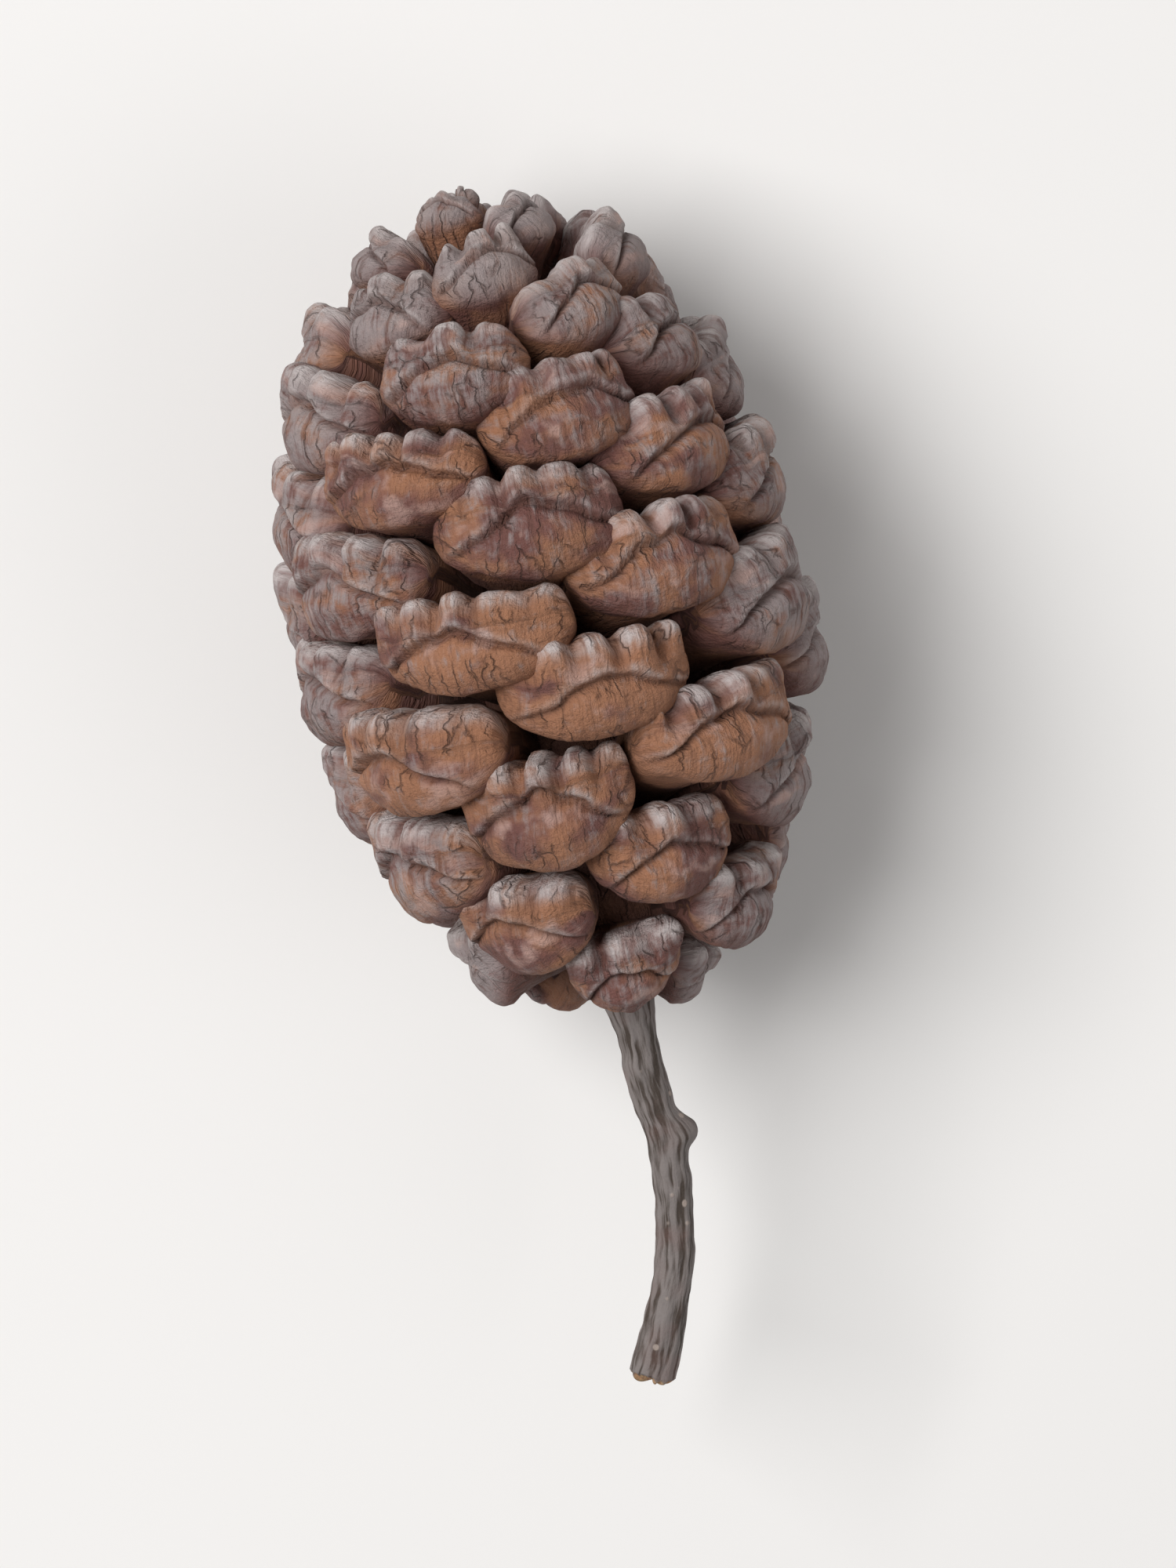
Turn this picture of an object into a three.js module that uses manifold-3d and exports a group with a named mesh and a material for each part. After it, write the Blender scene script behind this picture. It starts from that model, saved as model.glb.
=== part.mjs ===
// An alder cone as picked: a woody, egg-shaped cone of five-lobed scales on its own short stalk.
// Units are millimetres and +Z is up. The cone lies on its side on the plane Z = 0, with its
// apex towards +Y and its stalk towards -Y, and the origin is at the bottom centre of its box.
//
// The cone is first built upright in a frame of its own, where the axis is the Z axis, the base
// is at Z = 0 and the apex at Z = CONE_LENGTH, and is then laid down.

import * as THREE from "three";
import { mergeVertices } from "three/addons/utils/BufferGeometryUtils.js";
import Module from "manifold-3d";

const wasm = await Module();
wasm.setup();

// Driving dimensions
const CONE_LENGTH = 20;
const CONE_WIDTH = 12.6;
const STALK_LENGTH = 8.4;
const STALK_DIAMETER = 1;

// The scales stand on a spiral, each one golden angle round from the last
const SCALE_COUNT = 64;
const GOLDEN_ANGLE = Math.PI * (3 - Math.sqrt(5));
const FIRST_TIP = 0.03;
const LAST_TIP = 0.997;
const CROWDED_APEX = 0.28;
const SMALL_TIP_RADIUS = 0.5 * CONE_WIDTH * 0.78;

// One scale: a fan on a curved midline that leans towards the apex and ends in a thick lip
const HALF_FAN = THREE.MathUtils.degToRad(23);
const SMALL_FAN_GAIN = THREE.MathUtils.degToRad(35);
const LEAN = THREE.MathUtils.degToRad(10);
const FOLLOW_OUTLINE = 0.72;
const MIDLINE_BEND = THREE.MathUtils.degToRad(30);
const LONGEST_MIDLINE = 0.29 * CONE_LENGTH;
const SHORTEST_MIDLINE = 0.15 * CONE_LENGTH;
const ROOT_RADIUS = 0.6;
const ROOT_THICKNESS = 0.75;
const LIP_THICKNESS = 2.25;
const APEX_LIP_GAIN = 0.15;
const EDGE_THINNING = 0.45;
const LIP_START = 0.72;
const LIP_ROUNDING = 0.6;
const FAN_ROUNDING = 0.13;
const LOBE_DEPTH = 0.28;

// Growth is never even: the seeded spread of each scale about the rule
const TURN_SPREAD = THREE.MathUtils.degToRad(3);
const LEAN_SPREAD = THREE.MathUtils.degToRad(5);
const REACH_SPREAD = 0.25;

// The woody axis inside, which the scales grow from
const AXIS_SHARE = 0.5;
const AXIS_BOTTOM = 0.05 * CONE_LENGTH;
const AXIS_TOP = 0.92 * CONE_LENGTH;

// The stalk bends at a scar and was snapped from the twig at a slightly swollen heel
const SEAT_GAP = 0.3;
const SEAT_DEPTH = 0.5;
const STALK_BEND = 1.3;
const SCAR_AT = 0.42;
const SCAR_SWELL = 0.2;
const HEEL_SWELL = 0.22;
const COLLAR_SWELL = 0.5;

// How the cone lies: turned about its axis and tipped until it stands on the tips of its scales
const FIRST_TURN = THREE.MathUtils.degToRad(-2);
const PITCH = THREE.MathUtils.degToRad(-0.8);
const WORN_TIP = 0.5;

// Facets
const LOBED_COLUMNS = 10;
const SMALL_COLUMNS = 6;
const AXIS_SIDES = 14;
const STALK_SIDES = 10;
const STALK_RINGS = 14;

const woodySurface = new THREE.MeshStandardMaterial({
  color: 0x6e4a3c,
  roughness: 0.8,
  metalness: 0,
});
const barkSurface = new THREE.MeshStandardMaterial({
  color: 0x5f5552,
  roughness: 0.85,
  metalness: 0,
});

// A number from -1 to 1 that depends only on the scale and on what it is drawn for
function spread(index, purpose) {
  const wave = Math.sin(index * 12.9898 + purpose * 78.233) * 43758.5453;
  return 2 * (wave - Math.floor(wave)) - 1;
}

// Radius of the egg that the tips of the scales lie on
function outlineRadius(z) {
  const fromMiddle = (2 * z) / CONE_LENGTH - 1;
  return 0.5 * CONE_WIDTH * Math.sqrt(Math.max(0, 1 - fromMiddle * fromMiddle));
}

// Angle of the egg's outward normal above the horizontal
function outlineSlope(z) {
  const along = (z - 0.5 * CONE_LENGTH) / (0.25 * CONE_LENGTH * CONE_LENGTH);
  const out = outlineRadius(z) / (0.25 * CONE_WIDTH * CONE_WIDTH);
  return Math.atan2(along, out);
}

// Height of a scale's tip: the steps grow shorter towards the apex
function tipHeight(index) {
  const share = index / (SCALE_COUNT - 1);
  const eased = Math.sin(0.5 * Math.PI * share);
  const along = THREE.MathUtils.lerp(share, eased, CROWDED_APEX);
  return CONE_LENGTH * THREE.MathUtils.lerp(FIRST_TIP, LAST_TIP, along);
}

// Where one scale stands, how it leans and how large it is
function scaleLayout(index) {
  const tipZ = tipHeight(index);
  const tipRadius = outlineRadius(tipZ) + REACH_SPREAD * spread(index, 1);
  const tipLean =
    FOLLOW_OUTLINE * outlineSlope(tipZ) + LEAN + LEAN_SPREAD * spread(index, 2);
  const rootLean = tipLean + MIDLINE_BEND;
  const outwardShare = 0.5 * (Math.cos(tipLean) + Math.cos(rootLean));
  const size = Math.min(1, Math.sqrt(tipRadius / SMALL_TIP_RADIUS));
  const toAxis = Math.max(0, tipRadius - ROOT_RADIUS) / outwardShare;
  const length = THREE.MathUtils.clamp(toAxis, SHORTEST_MIDLINE, LONGEST_MIDLINE);
  const turn = FIRST_TURN + index * GOLDEN_ANGLE + TURN_SPREAD * spread(index, 3);
  const halfFan = HALF_FAN + SMALL_FAN_GAIN * (1 - size);
  const lip = LIP_THICKNESS * size * (1 + APEX_LIP_GAIN * ((2 * tipZ) / CONE_LENGTH - 1));
  return { tipZ, tipRadius, tipLean, rootLean, length, size, turn, halfFan, lip };
}

// Point and direction of a scale's midline in the plane of its radius, from 0 at the root to 1 at the tip
function midlineAt(layout, share) {
  const half = 0.5 * layout.length;
  const tip = new THREE.Vector2(layout.tipRadius, layout.tipZ);
  const tipWay = new THREE.Vector2(Math.cos(layout.tipLean), Math.sin(layout.tipLean));
  const rootWay = new THREE.Vector2(Math.cos(layout.rootLean), Math.sin(layout.rootLean));
  const elbow = tip.clone().addScaledVector(tipWay, -half);
  const root = elbow.clone().addScaledVector(rootWay, -half);
  const curve = new THREE.QuadraticBezierCurve(root, elbow, tip);
  if (share <= 1) return { point: curve.getPoint(share), way: curve.getTangent(share) };
  return { point: tip.addScaledVector(tipWay, (share - 1) * layout.length), way: tipWay };
}

// One scale as a closed grid: each column runs from the root along the upper face, round the lip
// and back along the lower face, and the columns stand side by side across the fan
function scaleGeometry(index) {
  const layout = scaleLayout(index);
  const small = layout.tipRadius < SMALL_TIP_RADIUS;
  const columns = small ? SMALL_COLUMNS : LOBED_COLUMNS;
  const lobes = columns / 2;
  const profile = [
    { share: 0, side: 0 },
    { share: LIP_START, side: 1 },
    { share: 1, side: LIP_ROUNDING },
    { share: 1, side: -LIP_ROUNDING },
    { share: LIP_START, side: -1 },
  ];
  const positions = [];
  for (let column = 0; column <= columns; column++) {
    const across = (2 * column) / columns - 1;
    const lobe = 0.5 * LOBE_DEPTH * layout.size * Math.cos(lobes * Math.PI * across);
    const reach = 1 - FAN_ROUNDING * across * across + lobe / layout.length;
    const thinning = 1 - EDGE_THINNING * Math.abs(across) ** 1.5;
    const turn = layout.turn + across * layout.halfFan;
    for (const { share, side } of profile) {
      const { point, way } = midlineAt(layout, share * reach);
      const thickness = THREE.MathUtils.lerp(ROOT_THICKNESS, layout.lip, share) * thinning;
      const offset = 0.5 * thickness * side;
      const radius = Math.max(0.05, point.x - way.y * offset);
      const height = point.y + way.x * offset;
      positions.push(radius * Math.cos(turn), radius * Math.sin(turn), height);
    }
  }
  return gridSolid(positions, columns + 1, profile.length);
}

// A closed geometry from columns of points: neighbouring columns are joined all round their
// profile, and the first and last columns are capped
function gridSolid(positions, columnCount, profileCount) {
  const index = [];
  const at = (column, row) => column * profileCount + (row % profileCount);
  for (let column = 0; column + 1 < columnCount; column++) {
    for (let row = 0; row < profileCount; row++) {
      const a = at(column, row);
      const b = at(column + 1, row);
      const c = at(column + 1, row + 1);
      const d = at(column, row + 1);
      index.push(a, c, b, a, d, c);
    }
  }
  const last = columnCount - 1;
  for (let row = 1; row + 1 < profileCount; row++) {
    index.push(at(0, 0), at(0, row + 1), at(0, row));
    index.push(at(last, 0), at(last, row), at(last, row + 1));
  }
  const geometry = new THREE.BufferGeometry();
  geometry.setAttribute("position", new THREE.Float32BufferAttribute(positions, 3));
  geometry.setIndex(index);
  return geometry;
}

// The woody axis of the cone, widest in the middle
function axisGeometry() {
  const outline = [new THREE.Vector2(0, AXIS_BOTTOM)];
  const steps = 8;
  for (let step = 0; step <= steps; step++) {
    const z = THREE.MathUtils.lerp(AXIS_BOTTOM, AXIS_TOP, step / steps);
    outline.push(new THREE.Vector2(AXIS_SHARE * outlineRadius(z), z));
  }
  outline.push(new THREE.Vector2(0, AXIS_TOP));
  return new THREE.LatheGeometry(outline, AXIS_SIDES).rotateX(Math.PI / 2);
}

// The stalk's line, from inside the base of the cone down to where it was snapped off
function stalkLine(extra) {
  const top = AXIS_BOTTOM + SEAT_DEPTH - SEAT_GAP + extra;
  return new THREE.CatmullRomCurve3([
    new THREE.Vector3(0, 0, top),
    new THREE.Vector3(0, 0, -0.15 * STALK_LENGTH),
    new THREE.Vector3(0.12, 0.05, -SCAR_AT * STALK_LENGTH),
    new THREE.Vector3(-0.2 * STALK_BEND, 0.1, -0.7 * STALK_LENGTH),
    new THREE.Vector3(-STALK_BEND, 0.2, -STALK_LENGTH),
  ]);
}

// A bump of height 1 centred on a place along the stalk
function bump(along, centre, width) {
  return Math.exp(-(((along - centre) / width) ** 2));
}

// The stalk as a tube whose radius swells at its collar, its scar and its heel
function stalkGeometry(extra) {
  const line = stalkLine(extra);
  const positions = [];
  for (let ring = 0; ring <= STALK_RINGS; ring++) {
    const along = ring / STALK_RINGS;
    const centre = line.getPointAt(along);
    const forward = line.getTangentAt(along);
    const across = new THREE.Vector3(0, 1, 0).cross(forward).normalize();
    const beside = forward.clone().cross(across);
    for (let side = 0; side < STALK_SIDES; side++) {
      const angle = (2 * Math.PI * side) / STALK_SIDES;
      const scar = SCAR_SWELL * bump(along, SCAR_AT, 0.05) * (1 + Math.cos(angle));
      const swell = COLLAR_SWELL * bump(along, 0, 0.12) + HEEL_SWELL * bump(along, 1, 0.1);
      const radius = 0.5 * STALK_DIAMETER * (1 + swell) + scar + extra;
      const point = centre
        .clone()
        .addScaledVector(across, -radius * Math.cos(angle))
        .addScaledVector(beside, -radius * Math.sin(angle));
      positions.push(...point.toArray());
    }
  }
  return tubeSolid(positions, STALK_RINGS + 1, STALK_SIDES);
}

// A closed geometry from rings of points, with a flat fan over each end
function tubeSolid(positions, ringCount, sides) {
  const index = [];
  for (let ring = 0; ring + 1 < ringCount; ring++) {
    for (let side = 0; side < sides; side++) {
      const next = (side + 1) % sides;
      const a = ring * sides + side;
      const b = ring * sides + next;
      index.push(a, b, b + sides, a, b + sides, a + sides);
    }
  }
  const last = (ringCount - 1) * sides;
  for (let side = 1; side + 1 < sides; side++) {
    index.push(0, side + 1, side);
    index.push(last, last + side, last + side + 1);
  }
  const geometry = new THREE.BufferGeometry();
  geometry.setAttribute("position", new THREE.Float32BufferAttribute(positions, 3));
  geometry.setIndex(index);
  return geometry;
}

// A geometry as a solid that can be joined and cut
function solidOf(geometry) {
  const bare = geometry.clone();
  bare.deleteAttribute("normal");
  bare.deleteAttribute("uv");
  const merged = mergeVertices(bare, 1e-4);
  const solid = new wasm.Manifold(
    new wasm.Mesh({
      numProp: 3,
      vertProperties: merged.attributes.position.array,
      triVerts: new Uint32Array(merged.index.array),
    }),
  );
  return solid;
}

// A solid as a geometry with flat facets
function geometryOf(solid) {
  const mesh = solid.getMesh();
  const geometry = new THREE.BufferGeometry();
  geometry.setAttribute("position", new THREE.BufferAttribute(mesh.vertProperties, 3));
  geometry.setIndex(new THREE.BufferAttribute(mesh.triVerts, 1));
  const faceted = geometry.toNonIndexed();
  faceted.computeVertexNormals();
  return faceted;
}

// The largest body of a solid, with the hollows that fusing sealed filled and loose scraps dropped
function wholeBody(solid) {
  return solid.decompose().reduce((a, b) => (a.volume() > b.volume() ? a : b));
}

// The scales fused to the axis, still upright and with round tips
function upright() {
  let solid = solidOf(axisGeometry());
  for (let index = 0; index < SCALE_COUNT; index++) {
    solid = solid.add(solidOf(scaleGeometry(index)));
  }
  return wholeBody(solid.subtract(solidOf(stalkGeometry(SEAT_GAP))));
}

// Turns the upright frame so that the apex points along +Y and the chosen side is down
function lyingTurn() {
  return new THREE.Matrix4().makeRotationX(PITCH - Math.PI / 2);
}

// The block under the cone, in the upright frame, that wears the lowest tips flat
function restingBlock(cone, turn) {
  const low = new THREE.Box3().setFromBufferAttribute(
    geometryOf(cone).applyMatrix4(turn).getAttribute("position"),
  ).min.z;
  const side = 4 * CONE_LENGTH;
  const block = new THREE.BoxGeometry(side, side, side);
  block.translate(0, 0, low + WORN_TIP - 0.5 * side);
  return solidOf(block.applyMatrix4(turn.clone().invert()));
}

const turn = lyingTurn();
const roundTipped = upright();
const scales = new THREE.Mesh(
  geometryOf(wholeBody(roundTipped.subtract(restingBlock(roundTipped, turn)))),
  woodySurface,
);
scales.name = "scales_on_axis";

const stalk = new THREE.Mesh(stalkGeometry(0), barkSurface);
stalk.name = "stalk";

const lying = new THREE.Group();
lying.add(scales, stalk);
lying.setRotationFromMatrix(turn);

const alderCone = new THREE.Group();
alderCone.add(lying);
const box = new THREE.Box3().setFromObject(alderCone, true);
const centre = box.getCenter(new THREE.Vector3());
lying.position.set(-centre.x, -centre.y, -box.min.z);

export default alderCone;
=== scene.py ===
"""Alder cone lying on its side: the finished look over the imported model.

The cone is worked out upright in millimetres, with its axis along Z and its base at Z = 0, by the same
rule as the solids, and every piece is then laid down into the row frame, in metres.
"""

import math

import bmesh
import bpy
import numpy as np
from bpy.props import FloatProperty, FloatVectorProperty, IntProperty, PointerProperty
from mathutils import Matrix, Vector, noise


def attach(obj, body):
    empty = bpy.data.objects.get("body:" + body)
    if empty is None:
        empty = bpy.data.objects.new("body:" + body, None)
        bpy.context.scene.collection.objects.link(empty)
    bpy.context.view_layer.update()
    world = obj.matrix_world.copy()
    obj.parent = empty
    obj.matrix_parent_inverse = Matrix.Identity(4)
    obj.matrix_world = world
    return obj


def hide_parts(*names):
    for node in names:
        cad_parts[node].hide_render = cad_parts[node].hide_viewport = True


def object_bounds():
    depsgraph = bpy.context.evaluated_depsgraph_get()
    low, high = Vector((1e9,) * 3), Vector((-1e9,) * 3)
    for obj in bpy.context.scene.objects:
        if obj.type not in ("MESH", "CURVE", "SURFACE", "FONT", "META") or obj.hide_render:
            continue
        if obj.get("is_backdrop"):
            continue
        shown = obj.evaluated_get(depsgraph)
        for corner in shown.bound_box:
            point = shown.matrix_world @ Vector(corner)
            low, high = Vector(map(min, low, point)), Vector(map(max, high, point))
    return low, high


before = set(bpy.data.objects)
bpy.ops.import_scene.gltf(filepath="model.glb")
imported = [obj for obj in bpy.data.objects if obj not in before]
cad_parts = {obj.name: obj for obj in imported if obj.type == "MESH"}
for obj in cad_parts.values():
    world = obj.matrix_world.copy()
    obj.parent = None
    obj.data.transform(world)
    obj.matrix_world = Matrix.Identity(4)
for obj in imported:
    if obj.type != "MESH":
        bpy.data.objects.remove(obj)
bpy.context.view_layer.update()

bl_info = {
    "name": "Alder Cone",
    "version": (1, 0, 0),
    "blender": (4, 5, 0),
    "location": "View3D > Sidebar > Alder Cone",
    "description": "Builds a lying alder cone: lobed woody scales on an axis, with a short stalk",
    "category": "Add Mesh",
}

MM = 0.001
GOLDEN_ANGLE = math.pi * (3 - math.sqrt(5))

# Where the upright cone's base centre lands in the row frame, and how it is tipped, as in the solids
BASE_AT = Vector((-0.1099, -5.7469, 5.9294))
PITCH = math.radians(-0.8)
FIRST_TURN = math.radians(-2)
LAY_DOWN = Matrix.Rotation(PITCH - math.pi / 2, 3, "X")

# What each seeded draw of a scale is for
(
    FOR_REACH,
    FOR_LEAN,
    FOR_TURN,
    FOR_WARP,
    FOR_BROAD_WAVE,
    FOR_NARROW_WAVE,
    FOR_TWIST,
    FOR_TINT,
    FOR_BRACT,
    FOR_LIP,
    FOR_ARCH,
    FOR_CREASE,
    FOR_LOBES,
) = range(1, 14)


def linear(hex_colour):
    """A colour written as sRGB hex, as the linear values that shaders take."""
    values = [int(hex_colour[i : i + 2], 16) / 255 for i in (1, 3, 5)]
    return [v / 12.92 if v <= 0.04045 else ((v + 0.055) / 1.055) ** 2.4 for v in values]


def colour_property(name, description, hex_colour):
    """A colour that a user can change, with its default written as sRGB hex."""
    return FloatVectorProperty(
        name=name, description=description, subtype="COLOR", min=0, max=1, default=linear(hex_colour)
    )


class AlderConeShape(bpy.types.PropertyGroup):
    """Sizes of the cone and its stalk."""

    cone_length: FloatProperty(
        name="Cone length", description="Base to apex", default=0.020, min=0.005, unit="LENGTH"
    )
    cone_width: FloatProperty(
        name="Cone width", description="Across the widest tier", default=0.0126, min=0.003, unit="LENGTH"
    )
    scale_count: IntProperty(
        name="Scales", description="Number of scales on the spiral", default=64, min=8, max=120
    )
    lip_thickness: FloatProperty(
        name="Lip thickness", description="Of a scale at its outer end", default=0.0024, unit="LENGTH"
    )
    lobe_depth: FloatProperty(
        name="Lobe depth", description="How far the lobes stand out", default=0.00034, unit="LENGTH"
    )
    axis_share: FloatProperty(
        name="Axis share", description="Radius of the axis over that of the cone", default=0.38, max=0.6
    )
    stalk_length: FloatProperty(
        name="Stalk length", description="Below the base of the cone", default=0.0084, unit="LENGTH"
    )
    stalk_diameter: FloatProperty(
        name="Stalk diameter", description="Between its swellings", default=0.0009, unit="LENGTH"
    )


class AlderConeColours(bpy.types.PropertyGroup):
    """Colours of the wood, the bark and the stage."""

    heart: colour_property("Reddish wood", "Sheltered faces of the scales", "#744b44")
    # Orange-brown on warmer scales, and as painted light on the cone's lit upper side
    warm: colour_property("Orange-brown wood", "Faces that have kept their colour", "#a37154")
    weathered: colour_property("Weathered wood", "Greyed ends of the scales", "#9e9392")
    spot: colour_property("Pale wood", "Spots on the ends of the scales", "#c4a196")
    # Pale rims: bleaching, and a painted highlight on the upper edges of the lips
    rim: colour_property("Bleached rim", "Upper edges of the lips", "#c8bebc")
    # Dark grain lines and cracks, and painted shade in the grooves, on the undersides and towards the roots
    deep: colour_property("Deep wood", "Dark inner parts and grooves", "#583a2f")
    bark: colour_property("Stalk bark", "Grey-brown bark", "#7b7370")
    furrow: colour_property("Bark furrow", "Dark wrinkles of the bark", "#40362f")
    lenticel: colour_property("Lenticel", "Pale pores of the bark", "#a2938a")
    snapped: colour_property("Snapped wood", "Torn end of the stalk", "#b4936d")
    floor: colour_property("Floor", "Pale studio floor", "#eeecea")


class AlderConeStage(bpy.types.PropertyGroup):
    """The camera's lens and view."""

    lens: FloatProperty(name="Lens", description="Long, for a flat view", default=0.4, unit="LENGTH")
    tilt: FloatProperty(
        name="Tilt", description="Of the view towards the apex", default=math.radians(9), subtype="ANGLE"
    )
    lean: FloatProperty(
        name="Lean", description="Of the cone in the picture", default=math.radians(12), subtype="ANGLE"
    )
    fill: FloatProperty(
        name="Frame fill", description="Share of the picture's height", default=0.84, subtype="FACTOR"
    )


# The rule of the scales


def spread(index, purpose):
    """A number from -1 to 1 that depends only on the scale and on what it is drawn for."""
    wave = math.sin(index * 12.9898 + purpose * 78.233) * 43758.5453
    return 2 * (wave - math.floor(wave)) - 1


def smooth(low, high, value):
    """Rises smoothly from 0 at low to 1 at high."""
    t = np.clip((value - low) / (high - low), 0, 1)
    return t * t * (3 - 2 * t)


def hump(value, width):
    """1 at zero, and next to nothing two widths away."""
    return np.exp(-((value / width) ** 2))


def outline_radius(shape, z):
    """Radius of the egg that the tips of the scales follow."""
    from_middle = 2 * z / (shape.cone_length / MM) - 1
    return 0.5 * shape.cone_width / MM * math.sqrt(max(0, 1 - from_middle * from_middle))


def outline_slope(shape, z):
    """Angle of the egg's outward normal above the horizontal."""
    half_length = 0.5 * shape.cone_length / MM
    half_width = 0.5 * shape.cone_width / MM
    return math.atan2((z - half_length) / half_length**2, outline_radius(shape, z) / half_width**2)


class ScaleLayout:
    """Where one scale stands, how it leans, how large it is, how it has weathered and how much painted light
    it takes.
    """

    # Shares of the cone's length
    FIRST_TIP = 0.03
    TIP_RUN = 0.967
    CROWDED_APEX = 0.28
    SHORTEST_MIDLINE = 0.15
    LONGEST_MIDLINE = 0.29
    # Millimetres: uneven reach, room for the relief of the lips, and how far the apex closes
    REACH_SPREAD = 0.25
    RELIEF_ROOM = 0.2
    CLOSED_APEX = 0.35
    LEAST_RADIUS = 0.15
    ROOT_RADIUS = 0.6
    # Share of the spiral after which the apex closes
    CLOSING_FROM = 0.88
    # Angles, and the share of the outline's slope that the tips follow
    FOLLOW_OUTLINE = 0.72
    LEAN = math.radians(10)
    LEAN_SPREAD = math.radians(5)
    MIDLINE_BEND = math.radians(30)
    TURN_SPREAD = math.radians(3)
    HALF_FAN = math.radians(26.5)
    SMALL_FAN_GAIN = math.radians(95)
    # Scales whose tips lie nearer to the axis than this share of the width are smaller and have fewer lobes
    FULL_SIZE_FROM = 0.39
    LOBES = 5
    SMALL_LOBES = 3
    # Lips are thickest at the base
    BASE_LIP = 1.1
    LIP_TAPER = 0.2
    LIP_SPREAD = 0.08
    # Painted light and weathering: what faces up towards the light and the warm middle take painted light,
    # and the open apex is weathered; as shares, and how strongly each counts
    FACING_UP = (0.1, 0.9)
    WARM_MIDDLE = 0.42
    WARM_WIDTH = 0.24
    OPEN_APEX = (0.68, 0.95)
    BASE_TINT = -0.5
    TINT_SPREAD = 0.6
    WARMTH = 1.5
    SHELTER = 1.7
    OPEN_SIDE = 0.2
    OPEN_APEX_GAIN = 0.8

    def __init__(self, shape, index):
        length = shape.cone_length / MM
        share = index / (shape.scale_count - 1)
        crowded = math.sin(0.5 * math.pi * share)
        self.tip_z = length * (
            self.FIRST_TIP + self.TIP_RUN * ((1 - self.CROWDED_APEX) * share + self.CROWDED_APEX * crowded)
        )
        drawn_in = self.RELIEF_ROOM + self.CLOSED_APEX * float(smooth(self.CLOSING_FROM, 1, share))
        reach = outline_radius(shape, self.tip_z) + self.REACH_SPREAD * spread(index, FOR_REACH)
        self.tip_radius = max(self.LEAST_RADIUS, reach - drawn_in)
        follow = self.FOLLOW_OUTLINE * outline_slope(shape, self.tip_z)
        self.tip_lean = follow + self.LEAN + self.LEAN_SPREAD * spread(index, FOR_LEAN)
        self.root_lean = self.tip_lean + self.MIDLINE_BEND
        outward = 0.5 * (math.cos(self.tip_lean) + math.cos(self.root_lean))
        full_size_radius = self.FULL_SIZE_FROM * shape.cone_width / MM
        self.size = min(1, math.sqrt(self.tip_radius / full_size_radius))
        self.lobes = self.SMALL_LOBES if self.tip_radius < full_size_radius else self.LOBES
        to_axis = max(0, self.tip_radius - self.ROOT_RADIUS) / outward
        self.length = min(max(to_axis, self.SHORTEST_MIDLINE * length), self.LONGEST_MIDLINE * length)
        self.turn = FIRST_TURN + index * GOLDEN_ANGLE + self.TURN_SPREAD * spread(index, FOR_TURN)
        self.half_fan = self.HALF_FAN + self.SMALL_FAN_GAIN * (1 - self.size) ** 2
        thickness = self.BASE_LIP - self.LIP_TAPER * self.tip_z / length
        thickness += self.LIP_SPREAD * spread(index, FOR_LIP)
        self.lip = shape.lip_thickness / MM * self.size * thickness
        self.weather(self.tip_z / length, spread(index, FOR_TINT))

    def weather(self, height, draw):
        """Warmth and greyness: painted light makes the upper side, which faces the light, warmer in the
        middle and less grey, and the weathered open apex is the greyest.
        """
        facing = float(smooth(*self.FACING_UP, -math.sin(self.turn)))
        middle = hump(height - self.WARM_MIDDLE, self.WARM_WIDTH)
        exposed = float(smooth(*self.OPEN_APEX, height))
        own_tint = self.BASE_TINT + self.TINT_SPREAD * draw
        self.tint_and_light = own_tint + self.WARMTH * facing * middle
        self.shelter_and_light = own_tint + self.SHELTER * facing * (1 - exposed)
        self.shelter_and_light -= self.OPEN_SIDE + self.OPEN_APEX_GAIN * exposed

    def midline(self, share):
        """Points and directions of the midline, as radius and height, from 0 at the root to 1 at the tip."""
        tip = np.array([self.tip_radius, self.tip_z])
        tip_way = np.array([math.cos(self.tip_lean), math.sin(self.tip_lean)])
        root_way = np.array([math.cos(self.root_lean), math.sin(self.root_lean)])
        elbow = tip - 0.5 * self.length * tip_way
        root = elbow - 0.5 * self.length * root_way
        t = np.clip(share, None, 1)[..., None]
        past = np.clip(share - 1, 0, None)[..., None] * self.length
        point = (1 - t) ** 2 * root + 2 * t * (1 - t) * elbow + t**2 * tip + past * tip_way
        way = (1 - t) * (elbow - root) + t * (tip - elbow)
        return point, way / np.linalg.norm(way, axis=-1, keepdims=True)


# Meshes

WELD_DISTANCE = 1e-7
TEXTURE_MARGIN = 0.004
NOISE_SEED = 1


def laid_down(points):
    """Upright points in millimetres as row-frame points in metres, worn flat where they meet the floor."""
    placed = points @ np.array(LAY_DOWN).T + np.array(BASE_AT)
    placed[:, 2] = np.maximum(placed[:, 2], 0)
    return placed * MM


def ruffled(points, waves, offset):
    """Points moved by seeded noise: waves lists (wavelength, height) in millimetres."""
    noise.seed_set(NOISE_SEED)
    moved = points.copy()
    aside = Vector((offset, 0, 0))
    for wavelength, height in waves:
        for i, p in enumerate(points):
            moved[i] += height * np.array(noise.noise_vector(Vector(p) / wavelength + aside))
    return moved


def closed_grid(columns, rows):
    """Quads between columns of points whose rows run full circle, and the texture place of each corner."""
    faces = []
    places = []
    for column in range(columns - 1):
        for row in range(rows):
            corners = [(column, row), (column, row + 1), (column + 1, row + 1), (column + 1, row)]
            faces.append([c * rows + r % rows for c, r in corners])
            places += corners
    texture = np.array(places, float) / (columns - 1, rows)
    return faces, TEXTURE_MARGIN + (1 - 2 * TEXTURE_MARGIN) * texture


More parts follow.
